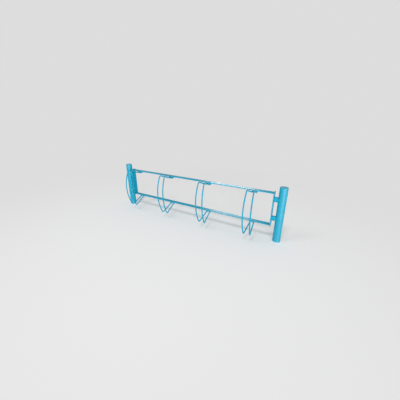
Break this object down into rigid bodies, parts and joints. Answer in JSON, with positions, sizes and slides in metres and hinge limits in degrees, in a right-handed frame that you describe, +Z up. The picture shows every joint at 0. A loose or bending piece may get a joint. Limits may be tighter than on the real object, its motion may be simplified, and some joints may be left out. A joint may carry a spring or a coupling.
{
  "type": "bike rack",
  "caption": "Low street rack that holds bicycles by the front wheel: bent round-bar hoops in front of two flat rails between a pair of round posts.",
  "frame": {"origin": "on the ground, in the middle of the rack's outline", "axes": "+X along the rails, -Y out of the side that bicycles come in from, +Z up"},
  "size_m": [1.6512, 0.2201, 0.45],
  "materials": {
    "blue_paint": "gloss",
    "zinc_plated_steel": "satin"
  },
  "bodies": {
    "root": {"cap_left": "blue_paint", "cap_right": "blue_paint", "end_plate_left": "blue_paint", "end_plate_right": "blue_paint", "frame_screw_lower_left": "blue_paint", "frame_screw_lower_right": "blue_paint", "frame_screw_upper_left": "blue_paint", "frame_screw_upper_right": "blue_paint", "hoop_1_left_bar": "blue_paint", "hoop_1_lower_plate": "blue_paint", "hoop_1_lower_screw": "blue_paint", "hoop_1_right_bar": "blue_paint", "hoop_1_upper_plate": "blue_paint", "hoop_1_upper_screw": "blue_paint", "hoop_2_left_bar": "blue_paint", "hoop_2_lower_plate": "blue_paint", "hoop_2_lower_screw": "blue_paint", "hoop_2_right_bar": "blue_paint", "hoop_2_upper_plate": "blue_paint", "hoop_2_upper_screw": "blue_paint", "hoop_3_left_bar": "blue_paint", "hoop_3_lower_plate": "blue_paint", "hoop_3_lower_screw": "blue_paint", "hoop_3_right_bar": "blue_paint", "hoop_3_upper_plate": "blue_paint", "hoop_3_upper_screw": "blue_paint", "hoop_4_left_bar": "blue_paint", "hoop_4_lower_plate": "blue_paint", "hoop_4_lower_screw": "blue_paint", "hoop_4_right_bar": "blue_paint", "hoop_4_upper_plate": "blue_paint", "hoop_4_upper_screw": "blue_paint", "insert_lower_left": "zinc_plated_steel", "insert_lower_right": "zinc_plated_steel", "insert_upper_left": "zinc_plated_steel", "insert_upper_right": "zinc_plated_steel", "post_left": "blue_paint", "post_right": "blue_paint", "rail_lower": "blue_paint", "rail_upper": "blue_paint", "stub_lower_left": "blue_paint", "stub_lower_right": "blue_paint", "stub_upper_left": "blue_paint", "stub_upper_right": "blue_paint"}
  },
  "joints": []
}
